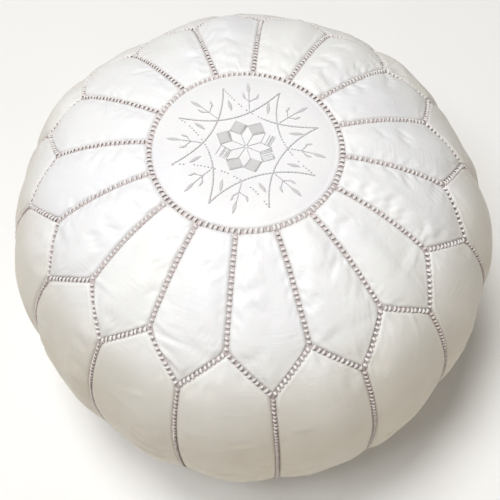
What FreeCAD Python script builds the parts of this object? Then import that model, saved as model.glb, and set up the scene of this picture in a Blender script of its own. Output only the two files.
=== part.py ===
"""Moroccan leather pouf: a stuffed leather cover of petals and side panels, with a zip in its base.

Millimetres, +Z up. The origin is the middle of the face that the pouf rests on. The zip runs along X.
The cover is a shell cut up by planes through its centre, so every seam is a short arc on the cover.
Each seam's hand stitching is one strip that fills the gap between two panels and stands a little proud.
"""

import FreeCAD, Part
import math
import os

from FreeCAD import Rotation, Vector

# ---- Driving dimensions ----
WIDTH = 500.0
HEIGHT = 350.0
WIDEST_AT = 154.0  # height of the widest girth above the floor
CROWN_POWER = 2.57  # how square the upper half's outline is: 2 is an ellipse
FOOT_POWER = 2.6
FOOT_DROP = 170.0  # the lower half would end this far below the girth; the floor cuts it flat
PANELS = 16
LEATHER = 2.0
SEAM_WIDTH = 6.0
SEAM_PROUD = 0.8
MEDALLION_RADIUS = 85.0
PETAL_VALLEY_RADIUS = 185.0  # where two petals and one side panel meet
PETAL_TIP_RADIUS = 214.0  # where one petal's point meets two side panels
BASE_SEAM_RADIUS = 160.0

# ---- Inside ----
CLEAR = 0.4  # between leather and liner, and between liner and filling
LINER = 0.8
LINER_ARCH_HALF = 26.0
LINER_ARCH_TOP = 15.0

# ---- Zip channel in the base ----
CHANNEL_HALF = 20.0  # half its width at the floor
CHANNEL_TOP_HALF = 11.0
LIP_EDGE = 7.0  # half the gap between the two leather lips
LIP_HEIGHT = 7.0  # underside of the lips above the floor

# ---- Zip ----
TAPE_HALF_LENGTH = 146.0
TAPE_EDGE = 1.2  # tape edge to the zip's middle line
TAPE_OUTER = 17.0
TAPE = 0.6
TOOTH_PITCH = 2.6
TOOTH_LENGTH = 1.15
TOOTH_HEIGHT = 2.8
TOOTH_TIP = 1.0  # how far a tooth reaches past the middle line
TOOTH_JAW = 2.8
TEETH_PER_SIDE = 75
CHAIN_START = -99.0
STOP_LENGTH = 3.0
STOP_GAP = 1.5
SLIDER_X = 94.0
SLIDER_LENGTH = 13.0
SLIDER_FRONT_HALF = 4.6
SLIDER_REAR_HALF = 4.2
SLIDER_PLATE = 1.2
SLIDER_SLACK = 0.4  # teeth to plates
FLANGE = 1.0
FLANGE_SLACK = 0.3  # flanges to tape
WEDGE_LENGTH = 3.0
WEDGE_HALF = 1.0
CROWN_HALF_LENGTH = 3.5
CROWN_HALF_WIDTH = 1.2
CROWN_BAR = 0.8
CROWN_LEG = 1.2
CROWN_OPENING = 1.8
PULL_PIN_RADIUS = 0.65
PULL_ARM_INSIDE = 1.6
PULL_HALF_WIDTH = 4.0
PULL_LENGTH = 26.0
PULL_EYE = 5.2
PULL_THICKNESS = 1.2
PULL_SLOT_RADIUS = 1.6
PULL_SLOT_FROM_END = 6.0
TAPE_STITCH = (3.2, 0.8, 0.4)  # length, width, thickness
TAPE_STITCH_PITCH = 4.6
TAPE_STITCH_AT = 9.0

# ---- Embroidery on the medallion, as shares of MEDALLION_RADIUS ----
THREAD_GAP = 0.1
THREAD_HEIGHT = 0.6
THREAD_WIDTH = 1.1
STAR_TIP = 0.79
STAR_PULL = 0.22  # control point of each curved side, from the middle
ARM_LEAF = (0.47, 0.61, 0.036)  # inner end, outer end, width
SPRIG_LEAF = (0.68, 0.82, 0.036)
SPRIG_STEM = (0.48, 0.69)
SPRIG_TWIG = (0.58, 0.66, 0.026)
SPRIG_SPREAD = 7.0  # degrees that each twig's end turns aside
DIAMOND = (0.185, 0.385, 0.27)  # inner corner, outer corner, side corners
DIAMOND_GAP = 1.5  # degrees between a diamond's side corner and halfway to the next
KNOT = 0.02
POINTS = 8

HALF_STEP = 180.0 / PANELS
CENTRE = Vector(0, 0, WIDEST_AT)
GIRTH = WIDTH / 2
CROWN_RISE = HEIGHT - WIDEST_AT
FAR = 700.0
THROUGH = Vector(0, 0, 2 * HEIGHT)
SPECK = 1e-3  # mm3: anything smaller is a leftover of cutting
PROFILE_STEPS = 720


# ---- The cover's outline ----
def outline_point(angle):
    """A point (radius, height) of the outline: the angle is 90 degrees at the top, below 0 under the girth."""
    c, s = math.cos(angle), math.sin(angle)
    power, rise = (CROWN_POWER, CROWN_RISE) if s >= 0 else (FOOT_POWER, FOOT_DROP)
    radius = GIRTH * max(c, 0.0) ** (2 / power)
    height = WIDEST_AT + math.copysign(rise * abs(s) ** (2 / power), s)
    return radius, height


def make_outline():
    """Rows of (length from the top, radius, height, outward normal) along the whole outline."""
    angles = [math.pi * (0.5 - i / PROFILE_STEPS) for i in range(PROFILE_STEPS + 1)]
    points = [outline_point(a) for a in angles]
    rows, length = [], 0.0
    for i, (r, z) in enumerate(points):
        before, after = points[max(i - 1, 0)], points[min(i + 1, PROFILE_STEPS)]
        if i:
            length += math.dist(points[i - 1], (r, z))
        run = math.dist(before, after)
        normal = (-(after[1] - before[1]) / run, (after[0] - before[0]) / run)
        if i in (0, PROFILE_STEPS):
            normal = (0.0, 1.0 if i == 0 else -1.0)
        rows.append((length, r, z, normal))
    return rows


OUTLINE = make_outline()


def at_length(length):
    """(radius, height, normal) of the outline at that length from the top."""
    for a, b in zip(OUTLINE, OUTLINE[1:]):
        if b[0] >= length:
            share = (length - a[0]) / (b[0] - a[0])
            mix = [a[k] + share * (b[k] - a[k]) for k in (1, 2)]
            normal = [a[3][k] + share * (b[3][k] - a[3][k]) for k in (0, 1)]
            size = math.hypot(*normal)
            return mix[0], mix[1], (normal[0] / size, normal[1] / size)
    return OUTLINE[-1][1:]


def length_at_radius(radius, upper=True):
    """Length from the top to where the outline has that radius, above or below the girth."""
    rows = [row for row in OUTLINE if (row[2] >= WIDEST_AT) == upper]
    a, b = next((a, b) for a, b in zip(rows, rows[1:]) if (a[1] - radius) * (b[1] - radius) <= 0)
    return a[0] + (radius - a[1]) / (b[1] - a[1]) * (b[0] - a[0])


def length_at_height(height, offset):
    """Length from the top to where the outline, moved out by offset, comes down to that height."""
    rows = [(s, z + offset * n[1]) for s, _, z, n in OUTLINE if z < WIDEST_AT]
    a, b = next((a, b) for a, b in zip(rows, rows[1:]) if b[1] <= height)
    return a[0] + (height - a[1]) / (b[1] - a[1]) * (b[0] - a[0])


def offset_point(length, offset):
    r, z, n = at_length(length)
    return Vector(max(r + offset * n[0], 0.0), 0, z + offset * n[1])


def offset_curve(start, end, offset):
    """The outline from start to end, moved out by offset, as one smooth edge."""
    spans = max(4, round((end - start) / 12.0))
    points = [offset_point(start + (end - start) * i / spans, offset) for i in range(spans + 1)]
    tangents = []
    for length in (start, end):
        n = at_length(length)[2]
        tangents.append(Vector(n[1], 0, -n[0]))
    curve = Part.BSplineCurve()
    curve.interpolate(Points=points, InitialTangent=tangents[0], FinalTangent=tangents[1])
    return curve.toShape()


def path(points):
    return [Part.makeLine(a, b) for a, b in zip(points, points[1:])]


def spin(edges, start_angle=0.0, sweep=360.0):
    """A solid of revolution about Z from a closed run of edges in the XZ plane."""
    face = Part.Face(Part.Wire(Part.__sortEdges__(edges)))
    face.rotate(Vector(), Vector(0, 0, 1), start_angle)
    return face.revolve(Vector(), Vector(0, 0, 1), sweep)


def band(start, end, low, high, start_angle=0.0, sweep=360.0):
    """The part of the cover between two lengths from the top and two offsets from the outline."""
    faces = [offset_curve(start, end, offset) for offset in (low, high)]
    ends = [Part.makeLine(offset_point(s, low), offset_point(s, high)) for s in (start, end)]
    return spin([*faces, *ends], start_angle, sweep)


def whole(offset, floor):
    """The stuffed shape moved out by offset, cut flat at height floor."""
    end = length_at_height(floor, offset)
    foot, top = offset_point(end, offset), offset_point(0.0, offset)
    return spin([offset_curve(0.0, end, offset), *path([foot, Vector(0, 0, foot.z), top])])


# ---- Cutting planes through the centre ----
def on_cover(length, azimuth):
    """A point on the cover, seen from the centre; azimuth turns from -Y towards +X."""
    r, z, _ = at_length(length)
    a = math.radians(azimuth)
    return Vector(r * math.sin(a), -r * math.cos(a), z) - CENTRE


def half_space(normal, distance=0.0):
    """Everything at least that distance from the centre's plane, on the side that normal points to."""
    box = Part.makeBox(2 * FAR, 2 * FAR, FAR, Vector(-FAR, -FAR, distance))
    turn = Rotation(Vector(0, 0, 1), normal)
    box.rotate(Vector(), turn.Axis, math.degrees(turn.Angle))
    box.translate(CENTRE)
    return box


def trim(shape, cuts):
    for normal, distance in cuts:
        shape = shape.common(half_space(normal, distance))
    return shape


def unit(v):
    return Vector(v).normalize()


S_MEDALLION = length_at_radius(MEDALLION_RADIUS)
S_VALLEY = length_at_radius(PETAL_VALLEY_RADIUS)
S_TIP = length_at_radius(PETAL_TIP_RADIUS)
S_BASE = length_at_radius(BASE_SEAM_RADIUS, upper=False)
HALF_SEAM = SEAM_WIDTH / 2

# One valley V sits at azimuth 0, with a petal's tip T half a step to its right.
V = on_cover(S_VALLEY, 0.0)
T = on_cover(S_TIP, HALF_STEP)
SIDEWAYS = Vector(1, 0, 0)  # normal of the plane of the seam between two petals, at V
TIP_SIDEWAYS = Vector(math.cos(math.radians(HALF_STEP)), math.sin(math.radians(HALF_STEP)), 0)
ZIGZAG_UP = unit(T.cross(V))  # normal of the plane through V and T, pointing at the petal
if ZIGZAG_UP.z < 0:
    ZIGZAG_UP = -ZIGZAG_UP


def mirrored(v, azimuth):
    """A vector mirrored in the upright plane at that azimuth."""
    a = math.radians(azimuth)
    side = Vector(math.cos(a), math.sin(a), 0)
    return v - side * (2 * v.dot(side))


# ---- Leather ----
def petal():
    """The petal whose tip is T: between two petal seams, the medallion and two zigzag seams."""
    shape = band(S_MEDALLION + HALF_SEAM, S_TIP + SEAM_WIDTH, -LEATHER, 0.0, HALF_STEP - 105.0, 30.0)
    cuts = [(SIDEWAYS, HALF_SEAM), (mirrored(SIDEWAYS, HALF_STEP), HALF_SEAM),
            (ZIGZAG_UP, HALF_SEAM), (mirrored(ZIGZAG_UP, HALF_STEP), HALF_SEAM)]
    return trim(shape, cuts)


def side_panel():
    """The side panel whose peak is V: between two side seams, down to the base seam."""
    shape = band(S_VALLEY - SEAM_WIDTH, S_BASE - HALF_SEAM, -LEATHER, 0.0, -105.0, 30.0)
    cuts = [(-TIP_SIDEWAYS, HALF_SEAM), (mirrored(-TIP_SIDEWAYS, 0.0), HALF_SEAM),
            (-ZIGZAG_UP, HALF_SEAM), (mirrored(-ZIGZAG_UP, 0.0), HALF_SEAM)]
    return trim(shape, cuts)


def along_x(section):
    """A long prism along X from an outline of (y, z) corners."""
    points = [Vector(-FAR, y, z) for y, z in section]
    return Part.Face(Part.Wire(path([*points, points[0]]))).extrude(Vector(2 * FAR, 0, 0))


def base_plate():
    """The round base as if it had no zip: a flat floor that curves up to the base seam."""
    start = S_BASE + HALF_SEAM
    outer_end, inner_end = length_at_height(0.0, 0.0), length_at_height(LEATHER, -LEATHER)
    inside = [Vector(0, 0, LEATHER), offset_point(inner_end, -LEATHER)]
    floor = path([offset_point(outer_end, 0.0), Vector(), *inside])
    rim = path([offset_point(start, -LEATHER), offset_point(start, 0.0)])
    return spin([offset_curve(start, outer_end, 0.0), offset_curve(start, inner_end, -LEATHER), *floor, *rim])


def base_space():
    """Everything over the base up to the base seam, to trim the lips of the zip to."""
    start, end = S_BASE + HALF_SEAM, length_at_height(0.0, 0.0)
    rim_top = offset_point(start, -3 * LEATHER)
    inside = [Vector(0, 0, rim_top.z), rim_top]
    sides = path([offset_point(end, 0.0), Vector(), *inside, offset_point(start, 0.0)])
    return spin([offset_curve(start, end, 0.0), *sides])


def base_panel():
    """The half of the base towards +Y, with its straight edge turned up into a lip for the zip."""
    slope = (CHANNEL_HALF - CHANNEL_TOP_HALF) / LIP_HEIGHT
    back_top = CHANNEL_TOP_HALF + LEATHER * (math.hypot(1, slope) - slope)
    back_low = back_top + slope * LIP_HEIGHT  # the sloping wall is as thick as the leather
    lip = along_x([(CHANNEL_HALF, 0.0), (CHANNEL_TOP_HALF, LIP_HEIGHT), (LIP_EDGE, LIP_HEIGHT),
                   (LIP_EDGE, LIP_HEIGHT + LEATHER), (back_top, LIP_HEIGHT + LEATHER),
                   (back_low, LEATHER), (back_low, 0.0)])
    flat = base_plate().common(Part.makeBox(2 * FAR, FAR, FAR, Vector(-FAR, back_low, -FAR / 2)))
    return flat.fuse(lip.common(base_space())).removeSplitter()


# ---- Stitching strips ----
def petal_seam():
    """Stitching between two petals, from the medallion seam down to V."""
    corner = unit(SIDEWAYS - ZIGZAG_UP)
    shape = band(S_MEDALLION + HALF_SEAM, S_VALLEY + SEAM_WIDTH, -LEATHER, SEAM_PROUD, -95.0, 10.0)
    cuts = [(SIDEWAYS, -HALF_SEAM), (-SIDEWAYS, -HALF_SEAM), (-corner, 0.0), (mirrored(-corner, 0.0), 0.0)]
    return trim(shape, cuts)


def zigzag_seam():
    """Stitching from V to the tip T on its right."""
    at_v, at_t = unit(SIDEWAYS - ZIGZAG_UP), unit(-TIP_SIDEWAYS + ZIGZAG_UP)
    shape = band(S_VALLEY - SEAM_WIDTH, S_TIP + SEAM_WIDTH, -LEATHER, SEAM_PROUD, -95.0, HALF_STEP + 10.0)
    cuts = [(ZIGZAG_UP, -HALF_SEAM), (-ZIGZAG_UP, -HALF_SEAM), (at_v, 0.0), (SIDEWAYS, 0.0),
            (at_t, 0.0), (-TIP_SIDEWAYS, 0.0)]
    return trim(shape, cuts)


def side_seam():
    """Stitching between two side panels, from T down to the base seam."""
    corner = unit(-TIP_SIDEWAYS + ZIGZAG_UP)
    shape = band(S_TIP - SEAM_WIDTH, S_BASE - HALF_SEAM, -LEATHER, SEAM_PROUD, HALF_STEP - 95.0, 10.0)
    cuts = [(TIP_SIDEWAYS, -HALF_SEAM), (-TIP_SIDEWAYS, -HALF_SEAM),
            (-corner, 0.0), (mirrored(-corner, HALF_STEP), 0.0)]
    return trim(shape, cuts)


# ---- Embroidery ----
def polar(share, degrees):
    a = math.radians(degrees)
    return Vector(MEDALLION_RADIUS * share * math.cos(a), MEDALLION_RADIUS * share * math.sin(a), 0)


def prism(points):
    """An upright prism through the medallion from an outline seen from above."""
    return Part.Face(Part.Wire(path([*points, points[0]]))).extrude(THROUGH)


def line_prism(a, b, width=THREAD_WIDTH):
    side = unit((b - a).cross(Vector(0, 0, 1))) * (width / 2)
    return prism([a + side, b + side, b - side, a - side])


def leaf_prism(inner, outer, width):
    """A pointed leaf of two arcs."""
    across = unit((outer - inner).cross(Vector(0, 0, 1))) * (width / 2)
    middle = (inner + outer) / 2
    arcs = [Part.Arc(inner, middle + across * sign, outer).toShape() for sign in (1, -1)]
    return Part.Face(Part.Wire(arcs)).extrude(THROUGH)


def star_side(turn):
    """One curved side of the star, from a tip to the tip a quarter turn on."""
    start, pull_in, end = polar(STAR_TIP, turn), polar(STAR_PULL, turn + 45), polar(STAR_TIP, turn + 90)
    start_side = unit((start - pull_in).cross(THROUGH))
    end_side = unit((pull_in - end).cross(THROUGH))
    edges = []
    for shift in (THREAD_WIDTH / 2, -THREAD_WIDTH / 2):
        curve = Part.BezierCurve()
        curve.setPoles([start + start_side * shift, pull_in + unit(pull_in) * shift, end + end_side * shift])
        edges.append(curve.toShape())
    ends = [Part.makeLine(edges[0].valueAt(share), edges[1].valueAt(share)) for share in (0.0, 1.0)]
    return Part.Face(Part.Wire([edges[0], ends[1], edges[1], ends[0]])).extrude(THROUGH)


def embroider(prisms):
    """Prisms joined where they cross, then cut down to a layer of thread that lies on the medallion."""
    layer = band(0.0, S_MEDALLION - HALF_SEAM, THREAD_GAP, THREAD_HEIGHT)
    return solids_of(prisms[0].multiFuse(prisms[1:]).common(layer) if prisms[1:] else prisms[0].common(layer))


def solids_of(shape):
    return [s for s in shape.Solids if s.Volume > SPECK]


def turned(first=0.0):
    return [first + 360.0 * i / POINTS for i in range(POINTS)]


def star():
    return embroider([star_side(t) for t in turned(22.5)])


def rosette():
    """The eight lines that part the middle into petals, and a knot where they would meet."""
    shapes = [line_prism(polar(KNOT + 0.01, t), polar(DIAMOND[0] - 0.01, t)) for t in turned(22.5)]
    return embroider([*shapes, Part.makeCylinder(KNOT * MEDALLION_RADIUS, THROUGH.z)])


def diamonds():
    """Satin-stitched diamonds, one behind each tip of the star, that meet in a ring."""
    inner, outer, side = DIAMOND
    reach = 180 / POINTS - DIAMOND_GAP
    corners = [(inner, 0.0), (side, -reach), (outer, 0.0), (side, reach)]
    return embroider([prism([polar(share, t + aside) for share, aside in corners]) for t in turned(22.5)])


def leaf(size, turn):
    inner, outer, width = size
    return leaf_prism(polar(inner, turn), polar(outer, turn), width * MEDALLION_RADIUS)


def arm_leaves():
    return embroider([leaf(ARM_LEAF, t) for t in turned(22.5)])


def sprigs():
    """A stem with two twigs and a leaf, between each two tips of the star."""
    shapes = []
    for t in turned():
        shapes += [leaf(SPRIG_LEAF, t), line_prism(polar(SPRIG_STEM[0], t), polar(SPRIG_STEM[1], t))]
        for sign in (-1, 1):
            twig_end = polar(SPRIG_TWIG[1], t + sign * SPRIG_SPREAD)
            shapes.append(leaf_prism(polar(SPRIG_TWIG[0], t), twig_end, SPRIG_TWIG[2] * MEDALLION_RADIUS))
    return embroider(shapes)


# ---- Zip ----
TAPE_LOW = LIP_HEIGHT + LEATHER
TAPE_MIDDLE = TAPE_LOW + TAPE / 2
TOOTH_LOW = TAPE_MIDDLE - TOOTH_HEIGHT / 2
TOOTH_HIGH = TAPE_MIDDLE + TOOTH_HEIGHT / 2
PLATE_LOW = TOOTH_LOW - SLIDER_SLACK  # inner face of the slider's outer plate
PLATE_HIGH = TOOTH_HIGH + SLIDER_SLACK
CHAIN_END = CHAIN_START + TOOTH_PITCH * TEETH_PER_SIDE
PIN_HEIGHT = PLATE_LOW - SLIDER_PLATE - CROWN_OPENING / 2


def block(x0, x1, y0, y1, z0, z1):
    return Part.makeBox(x1 - x0, y1 - y0, z1 - z0, Vector(x0, y0, z0))


def clamp_section(reach):
    """Outline in Y and Z of metal clamped on a tape's edge; reach is how far it goes past the middle line."""
    high = TAPE_LOW + TAPE
    return [(-reach, TOOTH_LOW), (TOOTH_JAW, TOOTH_LOW), (TOOTH_JAW, TAPE_LOW), (TAPE_EDGE, TAPE_LOW),
            (TAPE_EDGE, high), (TOOTH_JAW, high), (TOOTH_JAW, TOOTH_HIGH), (-reach, TOOTH_HIGH)]


def clamp(x0, length, side, reach):
    points = [Vector(x0, side * y, z) for y, z in clamp_section(reach)]
    return Part.Face(Part.Wire(path([*points, points[0]]))).extrude(Vector(length, 0, 0))


def tape(side):
    inner, outer = sorted((side * TAPE_EDGE, side * TAPE_OUTER))
    return block(-TAPE_HALF_LENGTH, TAPE_HALF_LENGTH, inner, outer, TAPE_LOW, TAPE_LOW + TAPE)


def teeth(side):
    first = CHAIN_START if side > 0 else CHAIN_START + TOOTH_PITCH / 2
    return [clamp(first + i * TOOTH_PITCH, TOOTH_LENGTH, side, TOOTH_TIP) for i in range(TEETH_PER_SIDE)]


def top_stops():
    x = SLIDER_X + SLIDER_LENGTH / 2 + STOP_GAP
    return [clamp(x, STOP_LENGTH, side, -0.3) for side in (1, -1)]


def bottom_stop():
    x = CHAIN_START - STOP_GAP - STOP_LENGTH
    halves = [clamp(x, STOP_LENGTH, side, 0.0) for side in (1, -1)]
    return halves[0].fuse(halves[1]).removeSplitter()


def slider():
    """Two plates joined by a wedge at the front, with flanges that hold the teeth and let the tape out."""
    rear, front = SLIDER_X - SLIDER_LENGTH / 2, SLIDER_X + SLIDER_LENGTH / 2
    shape = None
    for low, high, flange_low, flange_high in (
            (PLATE_LOW - SLIDER_PLATE, PLATE_LOW, PLATE_LOW, TAPE_LOW - FLANGE_SLACK),
            (PLATE_HIGH, PLATE_HIGH + SLIDER_PLATE, TAPE_LOW + TAPE + FLANGE_SLACK, PLATE_HIGH)):
        corners = [(rear, -SLIDER_REAR_HALF), (front, -SLIDER_FRONT_HALF),
                   (front, SLIDER_FRONT_HALF), (rear, SLIDER_REAR_HALF)]
        points = [Vector(x, y, low) for x, y in corners]
        plate = Part.Face(Part.makePolygon(points + points[:1])).extrude(Vector(0, 0, high - low))
        plate = plate.makeFillet(1.2, [e for e in plate.Edges if abs(e.tangentAt(0).z) > 0.9])
        near = SLIDER_REAR_HALF - FLANGE
        edges = ((near, SLIDER_REAR_HALF), (-SLIDER_REAR_HALF, -near))
        flanges = [block(rear + 1.4, front - 2.4, *edge, flange_low, flange_high) for edge in edges]
        plate = plate.multiFuse(flanges)
        shape = plate if shape is None else shape.fuse(plate)
    wedge = block(front - WEDGE_LENGTH - 0.6, front - 0.6, -WEDGE_HALF, WEDGE_HALF, PLATE_LOW, PLATE_HIGH)
    return shape.fuse(wedge).removeSplitter()


def crown():
    """The bridge on the slider that the pull hangs from."""
    top = PLATE_LOW - SLIDER_PLATE
    low = top - CROWN_OPENING - CROWN_BAR
    x0, x1 = SLIDER_X - CROWN_HALF_LENGTH, SLIDER_X + CROWN_HALF_LENGTH
    shape = block(x0, x1, -CROWN_HALF_WIDTH, CROWN_HALF_WIDTH, low, top)
    shape = shape.cut(block(x0 + CROWN_LEG, x1 - CROWN_LEG, -FAR, FAR, low + CROWN_BAR, top + 1.0))
    corners = [e for e in shape.Edges if abs(e.tangentAt(0).y) > 0.9 and abs(e.Vertexes[0].Z - low) < 1e-6]
    return shape.makeFillet(CROWN_BAR * 0.9, corners)


def pull():
    """A flat metal tab that lies along the zip, with a cross pin through the crown."""
    low, high = PIN_HEIGHT - PULL_THICKNESS / 2, PIN_HEIGHT + PULL_THICKNESS / 2
    end = SLIDER_X - PULL_LENGTH
    plate = block(end + PULL_HALF_WIDTH, SLIDER_X, -PULL_HALF_WIDTH, PULL_HALF_WIDTH, low, high)
    round_end = Part.makeCylinder(PULL_HALF_WIDTH, PULL_THICKNESS, Vector(end + PULL_HALF_WIDTH, 0, low))
    eye = block(SLIDER_X - PULL_EYE, SLIDER_X + 1, -PULL_ARM_INSIDE, PULL_ARM_INSIDE, low - 1, high + 1)
    plate = plate.fuse(round_end).cut(eye)
    plate = plate.cut(Part.makeCylinder(PULL_SLOT_RADIUS, 9, Vector(end + PULL_SLOT_FROM_END, 0, low - 4)))
    for side in (1, -1):
        edge = side * (PULL_ARM_INSIDE + 1.2)
        outside = sorted((edge, side * (PULL_HALF_WIDTH + 1)))
        plate = plate.cut(block(SLIDER_X - PULL_EYE - 1.0, SLIDER_X + 1, *outside, low - 1, high + 1))
    half = PULL_ARM_INSIDE + 1.2
    pin = Part.makeCylinder(PULL_PIN_RADIUS, 2 * half, Vector(SLIDER_X, -half, PIN_HEIGHT), Vector(0, 1, 0))
    return plate.fuse(pin).removeSplitter()


def tape_stitches():
    """Machine stitches that hold the lips to the tapes, seen from below."""
    length, width, thick = TAPE_STITCH
    count = int(2 * (TAPE_HALF_LENGTH - length) / TAPE_STITCH_PITCH)
    first = -TAPE_STITCH_PITCH * (count - 1) / 2
    return [block(first + i * TAPE_STITCH_PITCH - length / 2, first + i * TAPE_STITCH_PITCH + length / 2,
                  side * TAPE_STITCH_AT - width / 2, side * TAPE_STITCH_AT + width / 2,
                  LIP_HEIGHT - thick, LIP_HEIGHT)
            for i in range(count) for side in (1, -1)]


# ---- Inside ----
def arched(depth, grow):
    """The stuffed shape at that depth under the leather's face, with a way cut along X over the zip."""
    half, top = LINER_ARCH_HALF + grow, LINER_ARCH_TOP + grow
    return whole(-depth, depth).cut(along_x([(-half, -half), (half, -half), (half, top), (-half, top)]))


def liner():
    return arched(LEATHER + CLEAR, 0.0).cut(arched(LEATHER + CLEAR + LINER, LINER))


def filling():
    return arched(LEATHER + 2 * CLEAR + LINER, LINER + CLEAR)


# ---- Writing the parts ----
def around(shape, count=PANELS):
    """Copies of a shape, turned about Z by equal steps."""
    copies = []
    for i in range(count):
        copy = shape.copy()
        copy.rotate(Vector(), Vector(0, 0, 1), 360.0 * i / count)
        copies.append(copy)
    return copies


def save(name, shapes):
    if not isinstance(shapes, list):
        shapes = [shapes]
    solids = [s for shape in shapes for s in shape.Solids]
    for s in solids:
        if not s.isValid() or s.Volume <= 0:
            print("NOT SOUND:", name, s.isValid(), s.Volume)
    whole_shape = solids[0] if len(solids) == 1 else Part.makeCompound(solids)
    whole_shape.exportStep(f"parts/{name}.step")
    print(f"{name:24s} {len(solids):4d} solids {sum(s.Volume for s in solids):12.1f} mm3")


def main():
    os.makedirs("parts", exist_ok=True)
    for i, shape in enumerate(around(petal()), 1):
        save(f"petal_{i:02d}", shape)
    for i, shape in enumerate(around(side_panel()), 1):
        save(f"side_panel_{i:02d}", shape)
    save("medallion", band(0.0, S_MEDALLION - HALF_SEAM, -LEATHER, 0.0))
    half_base = base_panel()
    save("base_panel_back", half_base)
    save("base_panel_front", half_base.mirror(Vector(), Vector(0, 1, 0)))

    ring = (-LEATHER, SEAM_PROUD)
    save("medallion_stitching", band(S_MEDALLION - HALF_SEAM, S_MEDALLION + HALF_SEAM, *ring))
    save("base_stitching", band(S_BASE - HALF_SEAM, S_BASE + HALF_SEAM, *ring))
    save("petal_stitching", around(petal_seam()))
    right = zigzag_seam()
    save("zigzag_stitching", around(right) + around(right.mirror(Vector(), Vector(1, 0, 0))))
    save("side_stitching", around(side_seam()))

    save("embroidered_star", star())
    save("embroidered_rosette", rosette())
    save("embroidered_diamonds", diamonds())
    save("embroidered_leaves", arm_leaves())
    save("embroidered_sprigs", sprigs())

    save("cotton_liner", liner())
    save("filling", filling())

    for side, name in ((1, "back"), (-1, "front")):
        save(f"zip_tape_{name}", tape(side))
        save(f"zip_teeth_{name}", teeth(side))
    save("zip_top_stops", top_stops())
    save("zip_bottom_stop", bottom_stop())
    save("zip_tape_stitching", tape_stitches())
    save("zip_slider", slider())
    save("zip_slider_crown", crown())
    save("zip_pull", pull())
    print("the zip pull turns about Y through X", SLIDER_X, "and Z", PIN_HEIGHT)


main()
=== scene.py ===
"""The looks of a stuffed leather pouf: puffed panels, laced seams, an embroidered medallion and a zip."""

import math

import bpy
import numpy as np
from mathutils import Matrix, Vector


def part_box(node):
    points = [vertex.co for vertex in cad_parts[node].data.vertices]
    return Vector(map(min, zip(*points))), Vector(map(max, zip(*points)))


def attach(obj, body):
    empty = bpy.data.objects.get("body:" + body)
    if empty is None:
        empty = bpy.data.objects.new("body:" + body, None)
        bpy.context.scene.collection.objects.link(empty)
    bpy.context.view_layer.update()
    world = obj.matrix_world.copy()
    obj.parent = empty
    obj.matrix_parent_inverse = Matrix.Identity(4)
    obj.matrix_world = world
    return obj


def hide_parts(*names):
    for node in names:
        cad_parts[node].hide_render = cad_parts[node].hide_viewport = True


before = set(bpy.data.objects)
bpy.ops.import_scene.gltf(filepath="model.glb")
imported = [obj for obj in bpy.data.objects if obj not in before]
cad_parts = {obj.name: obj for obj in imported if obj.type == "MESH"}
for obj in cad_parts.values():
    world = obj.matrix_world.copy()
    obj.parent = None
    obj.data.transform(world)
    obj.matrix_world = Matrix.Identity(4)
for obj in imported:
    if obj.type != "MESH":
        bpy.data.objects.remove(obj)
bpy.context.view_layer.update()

# ---- The cover's outline and seams, in millimetres, as in the CAD part ----
GIRTH, HEIGHT, WIDEST_AT = 250.0, 350.0, 154.0
CROWN_POWER, FOOT_POWER, FOOT_DROP = 2.57, 2.6, 170.0
PANELS = 16
HALF = math.pi / PANELS  # half a panel's turn
MEDALLION_RADIUS, VALLEY_RADIUS, TIP_RADIUS, BASE_RADIUS = 85.0, 185.0, 214.0, 160.0
LEATHER = 1.8
INSET = 1.8  # a panel's edge to the middle of its seam
SINK = -2.4  # a seam's middle, under the outline
MEDALLION_SAG = 4.5  # how far the medallion's middle hangs below its rise
PUFF = 4.2  # how far a panel's middle stands above its seams
LACE_PITCH = 4.8
BED_THICKNESS = 0.6
BED_OVERRUN = 4.5  # the strip under a seam goes on this far past the seam's ends
CENTRE = np.array([0.0, 0.0, WIDEST_AT])
LEAN = 0.019  # how much lower the top stands for each millimetre towards +X
TOP_SHIFT = 1.0  # how far the top stands towards +X
TOP_SHEAR = 0.018  # how far the top's far side leans towards -X for each millimetre towards +Y
RING_OVAL = 0.035  # how much longer the medallion's ring is along X
# Where the sides are pressed in: turn from -Y in degrees, depth, and spread in degrees.
DENTS = ((-40, 5.5, 30), (-144, 6.5, 18), (-99, 4.0, 9), (116, 3.4, 22), (60, 2.5, 16))


def make_outline(steps=2880):
    """From the top's middle to the foot: lengths, radii, levels and the two parts of the way out."""
    angle = np.linspace(math.pi / 2, -math.pi / 2, steps)
    c, s = np.clip(np.cos(angle), 0, None), np.sin(angle)
    power = np.where(s >= 0, CROWN_POWER, FOOT_POWER)
    rise = np.where(s >= 0, HEIGHT - WIDEST_AT, FOOT_DROP)
    r = GIRTH * c ** (2 / power)
    z = WIDEST_AT + np.sign(s) * rise * np.abs(s) ** (2 / power)
    run = np.stack([np.gradient(r), np.gradient(z)])
    run /= np.linalg.norm(run, axis=0)
    length = np.concatenate([[0], np.cumsum(np.hypot(np.diff(r), np.diff(z)))])
    return length, r, z, -run[1], run[0]


LENGTH, RADIUS, LEVEL, OUT_R, OUT_Z = make_outline()
UPPER = LEVEL >= WIDEST_AT


def travel(points):
    """How far along a line of points each of them lies."""
    return np.concatenate([[0], np.cumsum(np.linalg.norm(np.diff(points, axis=0), axis=1))])


def radius_at(s):
    return np.interp(s, LENGTH, RADIUS)


def top_length(radius):
    """Length from the top's middle to where the upper half of the outline has that radius."""
    return np.interp(radius, RADIUS[UPPER], LENGTH[UPPER])


S_MEDALLION, S_VALLEY, S_TIP = (float(top_length(r)) for r in (MEDALLION_RADIUS, VALLEY_RADIUS, TIP_RADIUS))
S_BASE = float(np.interp(-BASE_RADIUS, -RADIUS[~UPPER], LENGTH[~UPPER]))
S_ZIGZAG = (S_VALLEY + S_TIP) / 2


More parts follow.
